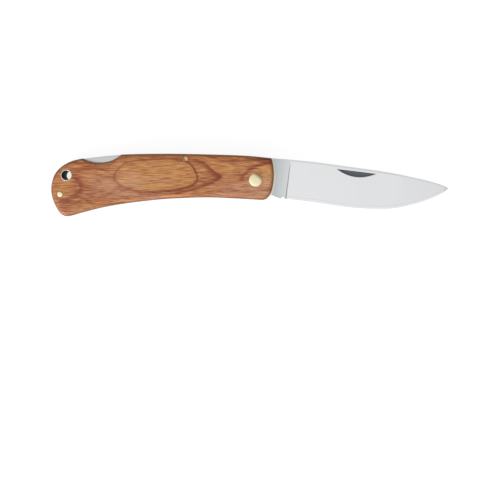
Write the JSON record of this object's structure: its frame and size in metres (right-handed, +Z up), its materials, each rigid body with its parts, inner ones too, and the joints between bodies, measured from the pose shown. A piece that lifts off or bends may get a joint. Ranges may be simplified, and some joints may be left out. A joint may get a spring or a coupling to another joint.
{
  "type": "folding knife",
  "caption": "Folding pocket knife with a drop-point blade, a lock bar along the back of the handle, wooden scales, brass pins and a lanyard tube.",
  "frame": {"origin": "under the centre of the open knife's box, on the surface that it lies on", "axes": "+X along the knife towards the tip of the blade, +Y from the belly of the handle to its back, +Z up through its thickness, out of the face that carries the nail nick"},
  "size_m": [0.188, 0.0294, 0.0127],
  "materials": {
    "laminated_rosewood": "resin-soaked laminated wood, polished, with contour bands of its layers",
    "satin_blade_steel": "satin-ground stainless steel",
    "spring_steel": "ground spring steel, flush with the wood",
    "liner_steel": "polished sheet steel",
    "polished_brass": "pins ground flush and polished",
    "nickel_silver": "polished tube rim",
    "bronze": "plain rolled washer"
  },
  "bodies": {
    "handle": {"front_scale": "laminated_rosewood", "back_scale": "laminated_rosewood", "front_liner": "liner_steel", "back_liner": "liner_steel", "butt_spacer": "spring_steel", "lock_spring": "spring_steel", "pivot_pin": "polished_brass", "rocker_pin": "polished_brass", "rear_pin": "polished_brass", "pivot_washer_front": "bronze", "pivot_washer_back": "bronze", "lanyard_tube": "nickel_silver"},
    "blade": {"blade": "satin_blade_steel"},
    "lock_bar": {"lock_bar": "spring_steel"}
  },
  "joints": [
    {"name": "blade_fold", "type": "hinge", "parent": "handle", "child": "blade", "pos_m": [0.0022, 0.0023, 0.00635], "axis": [0, 0, -1], "range_deg": [0, 171]},
    {"name": "lock_bar_rock", "type": "hinge", "parent": "handle", "child": "lock_bar", "pos_m": [-0.0307, 0.01232, 0.00635], "axis": [0, 0, 1], "range_deg": [0, 2.5], "stiffness_Nm_per_rad": 6, "deforming": ["lock_spring"]}
  ]
}
